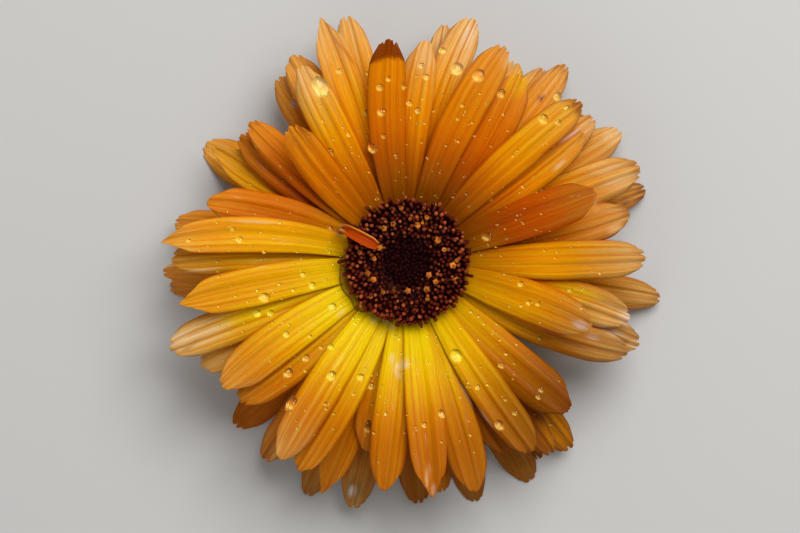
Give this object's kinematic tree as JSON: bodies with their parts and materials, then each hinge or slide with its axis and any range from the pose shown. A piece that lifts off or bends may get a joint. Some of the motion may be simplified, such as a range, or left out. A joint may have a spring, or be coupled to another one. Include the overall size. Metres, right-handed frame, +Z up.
{
  "type": "marigold flower",
  "caption": "Open pot marigold head, face up: tiers of toothed orange ray florets round a dark disc of tubular florets, on a green involucre with a stub of stalk.",
  "frame": {"origin": "middle of the flat cut under the stub of the stalk, on the surface that the head lies on", "axes": "+Z up out of the open face of the flower, +X to the right and +Y to the top of the head seen from above"},
  "size_m": [0.0643, 0.0636, 0.0201],
  "materials": {
    "green_bract": "matte",
    "orange_petal": "satin",
    "maroon_disc": "matte"
  },
  "bodies": {
    "root": {"involucre": "green_bract", "ray_florets": "orange_petal", "disc_florets": "maroon_disc"}
  },
  "joints": []
}
